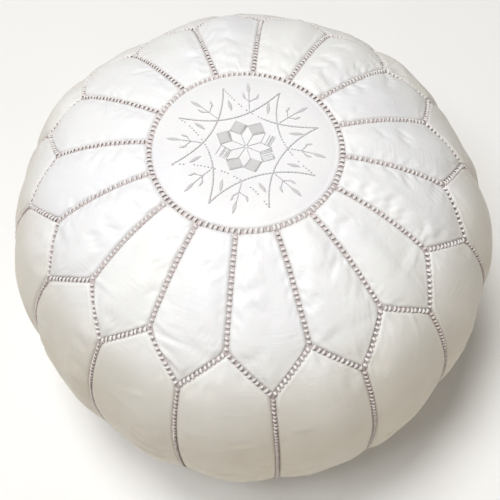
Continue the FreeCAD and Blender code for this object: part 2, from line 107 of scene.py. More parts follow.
def surface(turn, s, h=0.0):
    """Points on the cover: turn goes from -Y towards +X, s is the length from the top, h the height."""
    turn, s, h = np.broadcast_arrays(turn, s, h)
    r = np.interp(s, LENGTH, RADIUS) + h * np.interp(s, LENGTH, OUT_R)
    z = np.interp(s, LENGTH, LEVEL) + h * np.interp(s, LENGTH, OUT_Z)
    return np.stack([r * np.sin(turn), -r * np.cos(turn), z], axis=-1)


def normal(turn, s):
    turn, s = np.broadcast_arrays(turn, s)
    r, z = np.interp(s, LENGTH, OUT_R), np.interp(s, LENGTH, OUT_Z)
    n = np.stack([r * np.sin(turn), -r * np.cos(turn), z], axis=-1)
    return n / np.linalg.norm(n, axis=-1, keepdims=True)


def unit(v):
    return v / np.linalg.norm(v, axis=-1, keepdims=True)


def smooth(value, low, high):
    """A smooth step from 0 at low to 1 at high."""
    t = np.clip((value - low) / (high - low), 0, 1)
    return t * t * (3 - 2 * t)


def slump(points):
    """The cover leans, and its sides are pressed in here and there. The base stays where it is."""
    x, y, z = points.T
    upper = smooth(z, 60, 220)
    r, turn = np.hypot(x, y), np.degrees(np.arctan2(x, -y))
    push = sum(depth * np.exp(-((((turn - middle + 180) % 360 - 180) / spread) ** 2))
               for middle, depth, spread in DENTS)
    shrink = 1 - push * smooth(r, 90, 190) * smooth(z, 12, 90) / np.maximum(r, 90)
    oval = 1 + RING_OVAL * (1 - smooth(r, 95, 185)) * upper
    shift = (TOP_SHIFT - TOP_SHEAR * np.maximum(y, 0)) * upper
    return np.stack([x * shrink * oval + shift, y * shrink, z - LEAN * x * upper], axis=-1)


# The zigzag seam lies in planes through the centre. Each is told by its normal, which points at the petal.
ZIG = unit(np.cross(surface(HALF, S_TIP) - CENTRE, surface(0.0, S_VALLEY) - CENTRE))
ZIG = ZIG * np.sign(ZIG[2])
PETAL_ZIG = np.array([ZIG[0] * math.cos(HALF) + ZIG[1] * math.sin(HALF),
                      -ZIG[0] * math.sin(HALF) + ZIG[1] * math.cos(HALF), ZIG[2]])


def zig_distance(turn, s, from_tip):
    """Distance above the two zigzag planes next to turn 0, which is a petal's tip or else a valley."""
    p = surface(turn, s) - CENTRE
    plane = PETAL_ZIG if from_tip else ZIG
    ways = [p @ plane, p @ (plane * [-1, 1, 1])]
    return np.minimum(*ways) if from_tip else np.maximum(*ways)


def zig_length(turn):
    """Length from the top to the zigzag seam, at turns from a valley."""
    folded = np.abs((np.asarray(turn) + HALF) % (2 * HALF) - HALF)
    s = np.linspace(S_VALLEY - 30, S_TIP + 30, 500)
    at = np.linspace(0, HALF, 80)
    d = np.stack([zig_distance(a, s, False) for a in at])
    crossing = [np.interp(0, -row, s) for row in d]
    return np.interp(folded, at, crossing)


# ---- Meshes ----
def grid_faces(rows, cols, closed=False, flip=False):
    """Quads of a grid of rows by cols points."""
    i = np.arange(rows - 1)[:, None] * cols
    j = np.arange(cols if closed else cols - 1)[None, :]
    k = (j + 1) % cols
    quads = np.stack([i + j, i + k, i + cols + k, i + cols + j], axis=-1).reshape(-1, 4)
    return quads[:, ::-1] if flip else quads


def add_object(name, data):
    obj = bpy.data.objects.new(name, data)
    bpy.context.scene.collection.objects.link(obj)
    return obj


def build(name, points_mm, quads, material, slot=None, replaces=(), **attributes):
    """A mesh object from points in millimetres and quads, riding on the cover."""
    points_mm, quads = slump(np.asarray(points_mm, float).reshape(-1, 3)), np.asarray(quads)
    mesh = bpy.data.meshes.new(name)
    mesh.vertices.add(len(points_mm))
    mesh.vertices.foreach_set("co", (points_mm * 0.001).astype(np.float32).ravel())
    mesh.loops.add(quads.size)
    mesh.loops.foreach_set("vertex_index", quads.astype(np.int32).ravel())
    mesh.polygons.add(len(quads))
    mesh.polygons.foreach_set("loop_start", np.arange(0, quads.size, 4, dtype=np.int32))
    mesh.update(calc_edges=True)
    mesh.polygons.foreach_set("use_smooth", np.ones(len(quads), bool))
    for key, values in attributes.items():
        values = np.asarray(values, np.float32)
        wide = values.reshape(len(points_mm), -1).shape[1]
        layer = mesh.attributes.new(key, "FLOAT" if wide == 1 else "FLOAT_VECTOR", "POINT")
        layer.data.foreach_set("value" if wide == 1 else "vector", values.ravel())
    mesh.validate()
    mesh.materials.append(material)
    obj = add_object(name, mesh)
    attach(obj, "cover")
    if replaces:
        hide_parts(*replaces)
    return obj


def ring_cap(cols):
    """Quads that close a ring of an even number of points, and face the side it runs anticlockwise on."""
    return np.array([[a, a + 1, cols - 2 - a, cols - 1 - a] for a in range(cols // 2 - 1)])


def disc_shell(points, normals, thickness, rows, cols):
    """A disc's closed rings of points and their copy further in, joined round the rim: (points, quads)."""
    count = rows * cols
    skin = np.concatenate([grid_faces(rows, cols, closed=True, flip=True), ring_cap(cols)])
    edge = count - cols + np.arange(cols)
    after = np.roll(edge, -1)
    rim = np.stack([after, edge, edge + count, after + count], axis=-1)
    both = np.concatenate([points, points - normals * thickness])
    return both, np.concatenate([skin, (skin + count)[:, ::-1], rim])


def shell(points, normals, thickness, rows, cols):
    """A grid of points and its copy further in, joined round the edge: (points, quads)."""
    count = rows * cols
    inner = points - normals * thickness
    quads = grid_faces(rows, cols)
    first_row, last_column = np.arange(cols), np.arange(1, rows) * cols + cols - 1
    last_row = (rows - 1) * cols + np.arange(cols - 2, -1, -1)
    first_column = np.arange(rows - 2, 0, -1) * cols
    edge = np.concatenate([first_row, last_column, last_row, first_column])
    after = np.roll(edge, -1)
    rim = np.stack([after, edge, edge + count, after + count], axis=-1)
    return np.concatenate([points, inner]), np.concatenate([quads, (quads + count)[:, ::-1], rim])


# ---- Materials ----
class Shader:
    """A material's node tree, with short ways to add nodes."""

    def __init__(self, name):
        self.material = bpy.data.materials.new(name)
        self.material.use_nodes = True
        self.tree = self.material.node_tree
        self.bsdf = self.tree.nodes["Principled BSDF"]

    def node(self, kind, **inputs):
        return self.fill(self.tree.nodes.new("ShaderNode" + kind), inputs)

    def fill(self, made, inputs):
        """Sets a node's inputs, named or numbered as i0, i1 and so on, and its settings, named with a _."""
        for key, value in inputs.items():
            if key.startswith("_"):
                setattr(made, key[1:], value)
                continue
            socket = made.inputs[int(key[1:])] if key[0] == "i" and key[1:].isdigit() else made.inputs[key]
            if isinstance(value, bpy.types.NodeSocket):
                self.tree.links.new(value, socket)
            else:
                socket.default_value = value
        return made

    def set(self, **inputs):
        self.fill(self.bsdf, {k.replace("_", " "): v for k, v in inputs.items()})

    def attribute(self, name, vector=False):
        found = self.node("Attribute", _attribute_name=name)
        return found.outputs["Vector" if vector else "Fac"]

    def place(self):
        """Where a point is on the object, in metres."""
        return self.node("TexCoord").outputs["Object"]

    def scaled(self, vector, scale):
        return self.node("Mapping", Vector=vector, Scale=scale).outputs[0]

    def noise(self, vector, scale, detail=3.0, roughness=0.55):
        made = self.node("TexNoise", Vector=vector, Scale=scale, Detail=detail,
                         Roughness=roughness)
        return made.outputs["Fac"]

    def cells(self, vector, scale):
        """How far a point is from the edge of its cell."""
        made = self.node("TexVoronoi", _feature="DISTANCE_TO_EDGE", Vector=vector, Scale=scale)
        return made.outputs["Distance"]

    def ramp(self, value, low, high, to_low=0.0, to_high=1.0):
        """A smooth step from to_low at low to to_high at high."""
        made = self.node("MapRange", _interpolation_type="SMOOTHSTEP", i0=value, i1=low, i2=high,
                         i3=to_low, i4=to_high)
        return made.outputs[0]

    def math(self, operation, a, b=0.0):
        return self.node("Math", _operation=operation, i0=a, i1=b).outputs[0]

    def times(self, a, b):
        return self.math("MULTIPLY", a, b)

    def plus(self, a, b):
        return self.math("ADD", a, b)

    def mix(self, share, a, b):
        made = self.node("Mix", _data_type="RGBA", i0=share, i6=a, i7=b)
        return made.outputs[2]

    def bump(self, height, distance, strength=1.0, after=None):
        inputs = {"Height": height, "Distance": distance, "Strength": strength}
        if after is not None:
            inputs["Normal"] = after
        return self.node("Bump", **inputs).outputs[0]


# Painted shade: the cover is painted darker and yellower towards the bottom, in place of the shade and warm
# floor light on its lower sides. Each colour comes in from one level, in metres, down to another.
PAINTED_LOW_SHADE = ((0.318, 0.265, (0.69, 0.655, 0.585, 1)), (0.285, 0.19, (0.66, 0.59, 0.465, 1)))


def leather_material(name, tint=(1.0, 1.0, 1.0)):
    """White leather: fine grain, faint creases across, pinkish grime and painted shade at the seams, and
    painted shade that makes it darker and yellower low down.
    """
    m = Shader(name)
    place = m.place()
    chart = m.attribute("chart", vector=True)
    edge = m.attribute("edge_mm")
    own = m.attribute("own")
    broad = m.noise(place, 9.0, 2.0)
    mid = m.noise(place, 45.0, 4.0)
    warm = [0.86 * t for t in tint] + [1]
    warm[2] *= 0.975
    cool = [0.82 * t for t in tint] + [1]
    cool[2] *= 1.02
    shade = m.ramp(m.plus(broad, m.times(own, 0.25)), 0.38, 0.82)
    colour = m.mix(shade, tuple(warm), tuple(cool))
    colour = m.mix(m.ramp(mid, 0.52, 0.80, 0.0, 0.22), colour, (0.74, 0.71, 0.66, 1))
    # Painted shade low down: patchy with the broad noise, and weaker right at the floor.
    level = m.node("SeparateXYZ", Vector=place).outputs[2]
    patchy = m.times(m.ramp(broad, 0.3, 0.7, 0.72, 1.0), m.ramp(level, 0.01, 0.14, 0.45, 1.0))
    for high, low, painted_low_colour in PAINTED_LOW_SHADE:
        colour = m.mix(m.times(m.ramp(level, high, low), patchy), colour, painted_low_colour)
    # Near the seams: a patchy pinkish wash that is partly grime and partly painted shade where the edge
    # tucks under the stitches.
    worn = m.noise(m.scaled(chart, (0.9, 0.9, 0.9)), 1.0, 3.0)
    near = m.times(m.ramp(edge, 1.8, 4.4, 1.0, 0.0), m.ramp(worn, 0.30, 0.62, 0.15, 1.0))
    colour = m.mix(m.times(near, 0.24), colour, (0.76, 0.70, 0.68, 1))
    # Painted shade: a darker line right at the seam, where the edge dives under the stitches.
    rim = m.ramp(edge, 1.8, 2.5, 1.0, 0.0)
    colour = m.mix(m.times(rim, 0.5), colour, (0.58, 0.52, 0.51, 1))
    grain = m.cells(m.scaled(chart, (0.95, 0.95, 0.95)), 1.0)
    pores = m.noise(m.scaled(chart, (2.2, 2.2, 2.2)), 1.0, 3.0, 0.6)
    across = m.noise(m.scaled(chart, (0.035, 0.33, 0.2)), 1.0, 4.0, 0.62)
    creased = m.ramp(m.noise(m.scaled(chart, (0.02, 0.02, 0.02)), 1.0), 0.42, 0.66, 0.3, 1.0)
    across = m.times(across, creased)
    slant = m.noise(m.scaled(chart, (0.10, 0.06, 0.1)), 1.0, 3.0, 0.6)
    fine = m.plus(m.ramp(grain, 0.0, 0.16, 0.0, 0.7), m.times(pores, 0.6))
    bumped = m.bump(across, 0.0007, 0.7)
    bumped = m.bump(slant, 0.0010, 0.45, after=bumped)
    bumped = m.bump(fine, 0.00016, 0.55, after=bumped)
    rough = m.plus(m.ramp(mid, 0.3, 0.7, 0.36, 0.50), m.times(near, 0.12))
    m.set(Base_Color=colour, Roughness=rough, Normal=bumped, IOR=1.46, Coat_Weight=0.12,
          Coat_Roughness=0.34, Sheen_Weight=0.05, Subsurface_Weight=0.04, Subsurface_Scale=0.003)
    return m.material


def thread_material(name, light, dark, ply_mm=0.9, sheen=0.25, rough=0.7, uneven=0.45):
    """Twisted thread: slanting plies, fluff, painted shade in the grooves between the plies, and colour
    that changes from stitch to stitch.
    """
    m = Shader(name)
    ply = m.attribute("ply", vector=True)
    own = m.attribute("own")
    parts = m.node("SeparateXYZ", Vector=ply).outputs
    twist = m.plus(m.times(parts[0], 1 / ply_mm), parts[1])
    strand = m.math("PINGPONG", twist, 0.5)
    fluff = m.noise(ply, 3.5, 4.0, 0.7)
    # Painted shade: darker in the grooves between the plies, where the bump is lowest. The tone that
    # changes from stitch to stitch is added after.
    groove_shade_and_tone = m.times(m.ramp(strand, 0.0, 0.22, 1.0, 0.0), 0.30)
    groove_shade_and_tone = m.plus(groove_shade_and_tone, m.times(own, uneven))
    colour = m.mix(m.plus(groove_shade_and_tone, m.times(fluff, 0.12)), (*light, 1), (*dark, 1))
    height = m.plus(m.ramp(strand, 0.0, 0.5, 0.0, 1.0), m.times(fluff, 0.4))
    m.set(Base_Color=colour, Roughness=rough, Normal=m.bump(height, 0.00022, 0.8), Sheen_Weight=sheen)
    return m.material


def bed_material(name):
    """The turned leather edges at the bottom of a seam, between the stitches: grimy, and painted darker for
    the shade that falls there.
    """
    m = Shader(name)
    place = m.place()
    spots = m.noise(place, 260.0, 4.0)
    broad = m.noise(place, 30.0, 2.0)
    # Painted shade and grime: far darker than the leather, and darkest where the spots' bump is low.
    colour = m.mix(m.ramp(spots, 0.35, 0.7), (0.44, 0.39, 0.385, 1), (0.60, 0.54, 0.53, 1))
    colour = m.mix(m.ramp(broad, 0.45, 0.75, 0.0, 0.6), colour, (0.58, 0.49, 0.47, 1))
    m.set(Base_Color=colour, Roughness=0.85, Normal=m.bump(spots, 0.0004, 0.8))
    return m.material


def cloth_material(name, colour, dark, threads_per_m, bump_m):
    """Plain woven cloth, with painted shade in the hollows of the weave."""
    m = Shader(name)
    place = m.place()
    parts = m.node("SeparateXYZ", Vector=place).outputs
    warp = m.math("SINE", m.times(parts[0], threads_per_m * 2 * math.pi))
    weft = m.math("SINE", m.times(parts[1], threads_per_m * 2 * math.pi))
    weave = m.times(warp, weft)
    slub = m.noise(m.scaled(place, (40, 400, 40)), 1.0, 4.0, 0.7)
    # Painted shade: darker where the weave's bump is low. The slub's darker tone is the cloth's own.
    mixed = m.mix(m.plus(m.ramp(weave, -1.0, 1.0, 0.45, 0.0), m.times(slub, 0.3)),
                  (*colour, 1), (*dark, 1))
    height = m.plus(weave, m.times(slub, 0.8))
    m.set(Base_Color=mixed, Roughness=0.9, Normal=m.bump(height, bump_m, 0.8), Sheen_Weight=0.2)
    return m.material


def metal_material(name):
    """Brass with a soft shine, fine scratches and duller hollows."""
    m = Shader(name)
    place = m.place()
    blotch = m.noise(place, 220.0, 4.0)
    scratch = m.noise(m.scaled(place, (300, 5200, 5200)), 1.0, 3.0, 0.6)
    colour = m.mix(m.ramp(blotch, 0.35, 0.75), (0.72, 0.55, 0.27, 1), (0.52, 0.38, 0.19, 1))
    rough = m.plus(m.ramp(blotch, 0.3, 0.8, 0.24, 0.46), m.times(scratch, 0.08))
    m.set(Base_Color=colour, Metallic=1.0, Roughness=rough, Normal=m.bump(scratch, 0.00004, 0.5))
    return m.material


LEATHER_SKIN = leather_material("white_leather")
MEDALLION_SKIN = leather_material("medallion_leather", (0.95, 0.945, 0.965))
BASE_SKIN = leather_material("base_leather", (0.95, 0.94, 0.91))
SEAM_BED = bed_material("seam_bed")
# The side seams' thread is a darker, warmer copy of the lacing thread: painted shade for the lower sides.
SIDE_LACE = thread_material("side_lacing_thread", (0.74, 0.68, 0.64), (0.56, 0.49, 0.46), ply_mm=1.1)
LACE = thread_material("lacing_thread", (0.88, 0.865, 0.85), (0.72, 0.66, 0.645), ply_mm=1.1)
SILK = thread_material("embroidery_silk", (0.76, 0.745, 0.75), (0.60, 0.59, 0.595), ply_mm=0.5,
                       sheen=0.1, rough=0.42, uneven=0.2)
# A paler copy of the embroidery silk: painted sheen for the diamonds that catch the light.
SILK_PALE = thread_material("embroidery_silk_pale", (0.86, 0.86, 0.87), (0.72, 0.72, 0.74), ply_mm=0.5,
                            sheen=0.1, rough=0.42)
METAL = metal_material("zip_brass")
TAPE_CLOTH = cloth_material("zip_tape_cloth", (0.72, 0.69, 0.62), (0.42, 0.39, 0.34), 1100, 0.00012)
LINER_CLOTH = cloth_material("liner_cotton", (0.80, 0.77, 0.69), (0.55, 0.51, 0.44), 420, 0.0003)
WADDING = cloth_material("cotton_wadding", (0.86, 0.85, 0.81), (0.60, 0.58, 0.54), 90, 0.003)


# ---- The stuffed cover: a coarse cloth held along its seams and blown up from inside ----
SIM_COLS, SIM_PETAL_ROWS, SIM_SIDE_ROWS = 16, 20, 50  # squares across a panel, down a petal, down a side
SIM_FRAMES = 24
SIM_SETTINGS = {"quality": 6, "mass": 0.2, "tension_stiffness": 18, "compression_stiffness": 18,
                "shear_stiffness": 6, "bending_stiffness": 0.35, "air_damping": 6, "use_pressure": True,
                "uniform_pressure_force": 9.0, "vertex_group_mass": "pin", "vertex_group_shrink": "taut",
                "shrink_min": -0.028, "shrink_max": -0.002}
HEIGHT_CAP = 9.0  # the blown cover is cut off at this height over the outline
BLOWN_RISE = 1.7  # about how far the simulated cover swells in the middle of a panel


def sim_lengths(turns):
    """Rows of lengths from the top: medallion to zigzag, then zigzag to base."""
    zig = zig_length(turns)
    petal = np.linspace(0, 1, SIM_PETAL_ROWS + 1)[:, None]
    side = np.linspace(0, 1, SIM_SIDE_ROWS + 1)[1:, None]
    return np.concatenate([S_MEDALLION + (zig - S_MEDALLION) * petal, zig + (S_BASE - zig) * side])


def inflate():
    """Heights of the inflated cover over the outline, on the grid of sim_lengths."""
    cols = PANELS * SIM_COLS
    rows = SIM_PETAL_ROWS + SIM_SIDE_ROWS + 1
    turns = np.arange(cols) * 2 * math.pi / cols
    s = sim_lengths(turns)
    start = surface(turns, s, SINK)
    mesh = bpy.data.meshes.new("cover_sim")
    quads = grid_faces(rows, cols, closed=True, flip=True)
    mesh.from_pydata((start * 0.001).reshape(-1, 3).tolist(), [], quads.tolist())
    cover = add_object("cover_sim", mesh)
    row, col = np.indices((rows, cols))
    on_seam = (row == 0) | (row == SIM_PETAL_ROWS) | (row == rows - 1)
    on_seam |= (row < SIM_PETAL_ROWS) & (col % SIM_COLS == 0)
    on_seam |= (row > SIM_PETAL_ROWS) & (col % SIM_COLS == SIM_COLS // 2)
    pin = cover.vertex_groups.new(name="pin")
    pin.add(np.flatnonzero(on_seam).tolist(), 1.0, "REPLACE")
    taut = cover.vertex_groups.new(name="taut")  # 0 is gathered, 1 is taut
    rng = np.random.default_rng(7)
    wave = np.zeros((rows, cols))
    for _ in range(26):
        k, phase = rng.integers(3, 26), rng.uniform(0, 6.3)
        wave += np.sin(turns * k + phase + rng.uniform(-0.12, 0.12) * row) * rng.uniform(0.3, 1)
    wave = np.clip(0.62 + 0.15 * wave, 0, 1)
    for index, weight in enumerate(wave.ravel()):
        taut.add([index], float(weight), "REPLACE")
    cloth = cover.modifiers.new("Cloth", "CLOTH")
    for key, value in SIM_SETTINGS.items():
        setattr(cloth.settings, key, value)
    cloth.settings.effector_weights.gravity = 0
    cloth.collision_settings.use_collision = False
    scene = bpy.context.scene
    for number in range(1, SIM_FRAMES + 1):
        scene.frame_set(number)
    blown = cover.evaluated_get(bpy.context.evaluated_depsgraph_get()).to_mesh()
    co = np.zeros(len(blown.vertices) * 3, np.float32)
    blown.vertices.foreach_get("co", co)
    moved = co.reshape(rows, cols, 3) * 1000.0 - surface(turns, s)
    height = (moved * normal(turns, s)).sum(-1)
    scene.frame_set(1)
    bpy.data.objects.remove(cover)
    return np.clip(height, SINK - 1.0, HEIGHT_CAP)


def smooth_sample(grid, row, col, wrap):
    """Catmull-Rom samples of a grid at fractional rows and columns."""
    rows, cols = grid.shape
    i, j = np.clip(np.floor(row).astype(int), 0, rows - 2), np.floor(col).astype(int)
    f, g = row - i, col - j

    def weights(t):
        return [(-t + 2 * t**2 - t**3) / 2, (2 - 5 * t**2 + 3 * t**3) / 2, (t + 4 * t**2 - 3 * t**3) / 2,
                (-(t**2) + t**3) / 2]

    total = 0.0
    for a, wa in enumerate(weights(f)):
        for b, wb in enumerate(weights(g)):
            jj = (j + b - 1) % cols if wrap else np.clip(j + b - 1, 0, cols - 1)
            total = total + wa * wb * grid[np.clip(i + a - 1, 0, rows - 1), jj]
    return total


BLOWN = inflate()


# ---- Panels ----
def graded(length_mm, first, biggest, ratio=1.22):
    """Shares from 0 to 1 of a length, close together near both ends."""
    steps, total, step = [], 0.0, first
    while total < length_mm / 2:
        steps.append(step)
        total += step
        step = min(step * ratio, biggest)
    half = np.concatenate([[0], np.cumsum(steps)])
    half = half / half[-1] * 0.5
    return np.concatenate([half, 1 - half[-2::-1]])


def soft_min(distances, softness=2.2):
    """The least of several distances, rounded off where they are alike."""
    stack = np.stack(distances)
    low = stack.min(0)
    return low - softness * np.log(np.exp(-(stack - low) / softness).sum(0))


def seam_profile(d):
    """Height near a seam at distance d: the edge dives under the stitches, then rises into a lip."""
    tuck = -1.3 * np.exp(-(((d - 1.5) / 1.0) ** 2))
    lip = 0.45 * np.exp(-(((d - 4.4) / 1.6) ** 2))
    return tuck + lip


def creases(x, y, lines):
    """Height of creases, each given from its start as (x, y, direction, length, width, bend, depth)."""
    height = np.zeros_like(x)
    for start_x, start_y, aim, long, wide, bend, depth in lines:
        along = (x - start_x) * math.cos(aim) + (y - start_y) * math.sin(aim)
        off = -(x - start_x) * math.sin(aim) + (y - start_y) * math.cos(aim) - bend * along**2
        share = np.clip(along / long, 0, 1)
        fade = np.sin(math.pi * share**0.6) ** 2 * (1 - 0.35 * share)
        ridge = np.exp(-((off / wide) ** 2))
        hollow = np.exp(-(((off - 1.7 * wide) / (1.3 * wide)) ** 2))
        height += fade * depth * (ridge - 0.6 * hollow)
    return height


def puckers(anchors, rng, count, strength):
    """Short random creases that run in from anchor points (x, y, direction) on a panel's edge."""
    lines = []
    for _ in range(count):
        x, y, aim = anchors[rng.integers(len(anchors))]
        depth = rng.uniform(0.35, 1.0) * strength * rng.choice([-1, 1, 1])
        start = (x + rng.normal(0, 5.0), y + rng.normal(0, 5.0), aim + rng.normal(0, 0.45))
        lines.append((*start, rng.uniform(14, 42), rng.uniform(1.3, 2.9), rng.normal(0, 0.006), depth))
    return lines


# Deep creases by panel, as creases() takes them. x is 0 in the panel's middle, and y is 0 halfway down
# the zigzag seam, between its valleys and its tips.
DEEP_CREASES = {
    "petal_15_skin": ((-37, -24, -0.25, 46, 2.6, 0.003, 1.0), (-36, -16, 0.42, 56, 2.2, 0.004, 1.5),
                      (-33, -8, 0.62, 50, 2.4, 0.002, 1.3), (-28, -1, 0.5, 40, 2.0, 0.002, 1.0),
                      (-22, 6, 0.25, 34, 2.0, -0.002, 0.8)),
    "petal_16_skin": ((-37, -19, -0.1, 60, 2.4, 0.002, -1.5), (-35, -13, 0.3, 62, 2.4, 0.003, 2.4),
                      (-31, -6, 0.62, 44, 2.2, 0.004, 1.9), (-38, -30, 0.15, 40, 2.4, 0.001, 0.9)),
    "side_03_skin": ((22, 1, 1.75, 34, 1.9, 0.0, 1.3), (16, 3, 1.6, 22, 1.8, 0.0, 0.7)),
    "petal_04_skin": ((-30, -30, 0.5, 44, 3.5, 0.0, 1.0), (-8, -42, 2.2, 40, 3.2, 0.0, 0.9)),
    "petal_03_skin": ((34, -34, 2.9, 62, 4.5, 0.0, 1.0),),
    "side_01_skin": ((30, 78, 2.95, 46, 2.4, 0.0, 1.5), (34, 96, 3.0, 52, 2.6, 0.0, 1.3),
                     (-34, 92, -0.1, 50, 3.0, 0.0, 1.0)),
    "side_02_skin": ((-36, 60, 0.1, 44, 2.6, 0.0, 0.9), (14, 20, 1.2, 50, 3.2, 0.0, 0.8)),
    "side_16_skin": ((20, 40, 2.7, 46, 2.8, 0.0, 1.0), (-30, 66, 0.2, 46, 2.8, 0.0, 0.9)),
}


def leather_piece(name, both, quads, material, node, chart, edge, own):
    """A leather piece from a shell's points, with its outer half's chart, edge distances and own shade."""
    obj = build(name, both, quads, material, slot="leather", replaces=[node], chart=np.tile(chart, (2, 1)),
                edge_mm=np.tile(edge.ravel(), 2), own=np.full(len(both), own))


def panel(name, turn, from_tip, rng, node, strength):
    """A petal (from_tip) or a side panel whose middle is at that turn."""
    probe = np.linspace(S_VALLEY - 12, S_TIP + 12, 400)
    if from_tip:
        u = graded(72, 0.45, 2.1) * 2 - 1
        rows_share = graded(135, 0.45, 2.1)
    else:
        u = graded(92, 0.5, 2.4) * 2 - 1
        rows_share = graded(290, 0.5, 2.8)

    def side_turn(share, s):
        return share * (HALF - np.arcsin(np.clip(INSET / radius_at(s), 0, 0.9)))

    ends = []
    for share in u:
        d = zig_distance(side_turn(share, probe), probe, from_tip)
        ends.append(np.interp(-INSET, -d, probe) if from_tip else np.interp(INSET, -d, probe))
    ends = np.array(ends)
    if from_tip:
        first, last = np.full_like(u, S_MEDALLION + INSET), ends
    else:
        first, last = ends, np.full_like(u, S_BASE - INSET)
    s = first + (last - first) * rows_share[:, None]
    local = side_turn(u, s)
    rows, cols = s.shape
    r = radius_at(s)
    zig = zig_distance(local, s, from_tip) * (1 if from_tip else -1)
    far_end = s - S_MEDALLION if from_tip else S_BASE - s
    d = soft_min([r * np.sin(HALF - local), r * np.sin(HALF + local), zig, far_end])
    d = np.maximum(d, 1.2)
    x, y = local * r, s - S_ZIGZAG
    h = SINK + (PUFF if BLOWN is None else PUFF - BLOWN_RISE) * (1 - np.exp(-d / 13))
    if BLOWN is not None:
        full_turn = (turn + local) % (2 * math.pi)
        col = full_turn / (2 * HALF) * SIM_COLS
        zig_s = zig_length(full_turn)
        if from_tip:
            row = (s - S_MEDALLION) / (zig_s - S_MEDALLION) * SIM_PETAL_ROWS
        else:
            row = SIM_PETAL_ROWS + (s - zig_s) / (S_BASE - zig_s) * SIM_SIDE_ROWS
        h = h + (smooth_sample(BLOWN, row, col, wrap=True) - SINK) * (1 - np.exp(-d / 4))
    down = math.pi / 2
    if from_tip:
        valley_y = S_VALLEY - S_ZIGZAG
        wide = VALLEY_RADIUS * HALF
        top_y = S_MEDALLION - S_TIP + 14
        anchors = [(-wide, valley_y, 0.25), (wide, valley_y, math.pi - 0.25),
                   (-wide, valley_y - 8, -0.25), (wide, valley_y - 8, math.pi + 0.25),
                   (0, valley_y + 26, -down), (-wide / 2.4, top_y, down), (wide / 2.4, top_y, down)]
        count = 11
    else:
        tip_y = S_TIP - S_ZIGZAG
        wide = TIP_RADIUS * HALF
        anchors = [(-wide, tip_y, 0.6), (wide, tip_y, math.pi - 0.6), (0, -tip_y, down),
                   (-wide / 2, 0, down), (wide / 2, 0, down), (-wide * 1.1, 70, 0.1),
                   (wide * 1.1, 95, math.pi), (-wide * 1.1, 150, 0), (wide * 1.05, 190, math.pi)]
        count = 13
    h = h + creases(x, y, [*puckers(anchors, rng, count, strength), *DEEP_CREASES.get(name, ())])
    waves = (rng.normal(0, 0.09, 5), rng.normal(0, 0.06, 5), rng.uniform(0, 6.3, 5),
             rng.uniform(0.1, 0.38, 5))
    lumps = sum(np.sin(x * kx + y * ky + p) * a for kx, ky, p, a in zip(*waves))
    h = h + lumps * (1 - np.exp(-d / 10)) + seam_profile(d)
    points = surface(turn + local, s, h).reshape(-1, 3)
    out = normal(turn + local, s).reshape(-1, 3)
    both, quads = shell(points, out, LEATHER, rows, cols)
    quads = quads[:, ::-1]
    chart = np.stack([x, y, h], -1).reshape(-1, 3) + rng.uniform(-400, 400, 3)
    leather_piece(name, both, quads, LEATHER_SKIN, node, chart, d, rng.uniform())


def medallion():
    """The round top panel, from a grid of rings."""
    rng = np.random.default_rng(5)
    shares = np.concatenate([np.linspace(0.004, 0.9, 60), 0.9 + 0.1 * graded(12, 0.5, 0.9)[1:]])
    s = (S_MEDALLION - INSET) * shares[:, None]
    turns = np.linspace(0, 2 * math.pi, 241)[None, :-1]
    s, turns = np.broadcast_arrays(s, turns)
    d = S_MEDALLION - s
    h = medallion_height(turns, s) + seam_profile(d)
    rows, cols = s.shape
    points, out = surface(turns, s, h).reshape(-1, 3), normal(turns, s).reshape(-1, 3)
    both, quads = disc_shell(points, out, LEATHER, rows, cols)
    chart = np.stack([points[:, 0], points[:, 1], h.ravel()], -1) + rng.uniform(-400, 400, 3)
    leather_piece("top_medallion", both, quads, MEDALLION_SKIN, "medallion", chart, d, 0.2)


def medallion_height(turns, s):
    """The medallion rises a little over its seam, sags in the middle and has a few slow waves."""
    d = S_MEDALLION - s
    x, y = s * np.sin(turns), -s * np.cos(turns)
    slow = 0.30 * np.sin(x * 0.052 + y * 0.031 + 1.0) + 0.22 * np.sin(y * 0.083 - x * 0.02 + 2.2)
    rise = SINK + (PUFF - 1.6 + slow) * (1 - np.exp(-np.maximum(d, 0) / 12))
    return rise - MEDALLION_SAG * smooth(d, 10, S_MEDALLION)


# ---- Stitches ----
THREAD_TAPER = 0.4  # how much thinner a thread is at its ends


def threads(name, centres, along, out, half_length, half_width, half_height, lift, material, slot,
            replaces, seed, rings=7, sides=8, power=2.4):
    """Many short threads in one mesh. Each arches over its centre and dives at both ends."""
    n = len(centres)
    half_length, half_width, half_height, lift = (np.broadcast_to(v, n)[:, None, None, None]
                                                  for v in (half_length, half_width, half_height, lift))
    across = unit(np.cross(out, along))[:, None, None, :]
    along, out, centres = along[:, None, None, :], out[:, None, None, :], centres[:, None, None, :]
    q = np.linspace(-1, 1, rings)[None, :, None, None]
    phi = (np.arange(sides) * 2 * math.pi / sides)[None, None, :, None]
    thin = 1 - THREAD_TAPER * np.abs(q) ** 4
    spine = centres + along * half_length * q + out * lift * (1 - np.abs(q) ** power)
    points = spine + across * half_width * np.cos(phi) * thin + out * half_height * np.sin(phi) * thin
    caps = ring_cap(sides)
    one = np.concatenate([grid_faces(rings, sides, closed=True), caps[:, ::-1], caps + (rings - 1) * sides])
    quads = (one[None] + (np.arange(n) * rings * sides)[:, None, None]).reshape(-1, 4)
    around, number = phi[..., 0] / (2 * math.pi), np.arange(n)[:, None, None]
    ply = np.stack(np.broadcast_arrays(half_length[..., 0] * q[..., 0], around, number * 0.37), -1)
    rng = np.random.default_rng(seed)
    own = np.repeat(rng.uniform(0, 1, n), rings * sides)
    build(name, points, quads, material, slot=slot, replaces=replaces, ply=ply.reshape(-1, 3), own=own)


